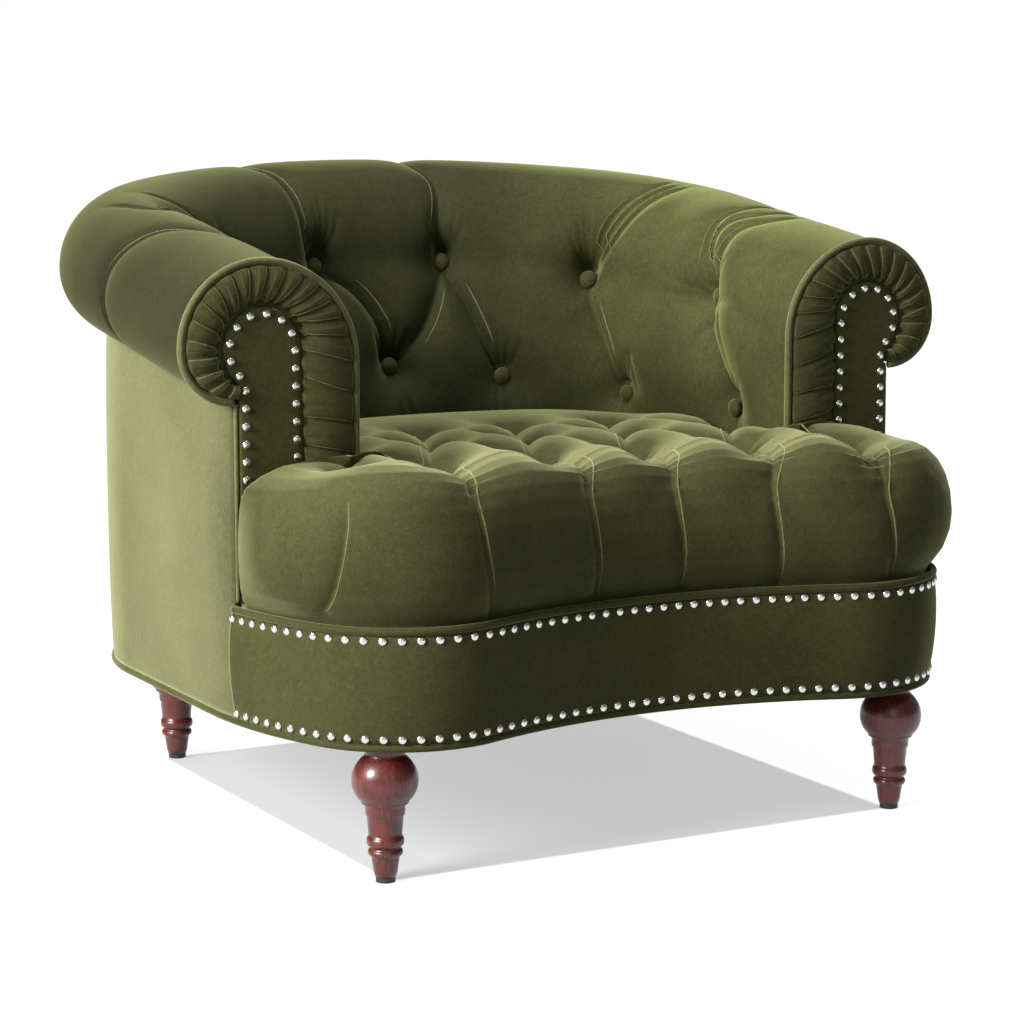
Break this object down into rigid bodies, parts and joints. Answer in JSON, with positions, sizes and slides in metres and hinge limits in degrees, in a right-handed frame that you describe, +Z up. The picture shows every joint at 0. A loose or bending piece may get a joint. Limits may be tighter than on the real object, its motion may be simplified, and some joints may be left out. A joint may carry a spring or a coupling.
{
  "type": "tufted barrel armchair",
  "caption": "Low barrel armchair with a rolled, deep-buttoned back and arms, a tufted serpentine seat, nail-trimmed apron and turned wooden legs.",
  "frame": {"origin": "on the floor, under the middle of the chair's outer box", "axes": "+X to the right seen from the front, +Y towards the back, +Z up"},
  "size_m": [1.0386, 0.97, 0.7802],
  "materials": {
    "velvet": "olive green cotton velvet, soft pile with a pale sheen on folds",
    "leg_wood": "turned hardwood, glossy dark cherry stain",
    "nail_metal": "polished nickel nail heads",
    "frame_wood": "bare plywood and softwood frame, hidden",
    "fastener_steel": "zinc-plated bolts and T-nuts",
    "glide_plastic": "dark nylon glides",
    "lining_cloth": "thin black lining and dust cloth",
    "webbing": "jute seat webbing"
  },
  "bodies": {
    "root": {"front_legs": "leg_wood", "rear_legs": "leg_wood", "front_left_glide": "glide_plastic", "front_right_glide": "glide_plastic", "rear_left_glide": "glide_plastic", "rear_right_glide": "glide_plastic", "front_left_corner_block": "frame_wood", "front_right_corner_block": "frame_wood", "rear_left_corner_block": "frame_wood", "rear_right_corner_block": "frame_wood", "hanger_bolts": "fastener_steel", "leg_t_nuts": "fastener_steel", "front_rail": "frame_wood", "rear_rail": "frame_wood", "left_rail": "frame_wood", "right_rail": "frame_wood", "left_arm_board": "frame_wood", "right_arm_board": "frame_wood", "top_rail": "frame_wood", "backing_cloth": "lining_cloth", "seat_deck_cloth": "lining_cloth", "dust_cover": "lining_cloth", "seat_webbing": "webbing", "apron": "velvet", "outside_cover": "velvet", "base_welt": "velvet", "seat_welt": "velvet", "seat_cushion": "velvet", "back_and_arm_pad": "velvet", "upper_buttons": "velvet", "lower_buttons": "velvet", "left_ruched_border": "velvet", "right_ruched_border": "velvet", "left_keyhole_panel": "velvet", "right_keyhole_panel": "velvet", "left_arm_welt": "velvet", "right_arm_welt": "velvet", "left_arm_nails": "nail_metal", "right_arm_nails": "nail_metal", "upper_apron_nails": "nail_metal", "lower_apron_nails": "nail_metal", "left_post_1": "frame_wood", "left_post_2": "frame_wood", "left_post_3": "frame_wood", "left_post_4": "frame_wood", "right_post_1": "frame_wood", "right_post_2": "frame_wood", "right_post_3": "frame_wood", "right_post_4": "frame_wood"}
  },
  "joints": []
}
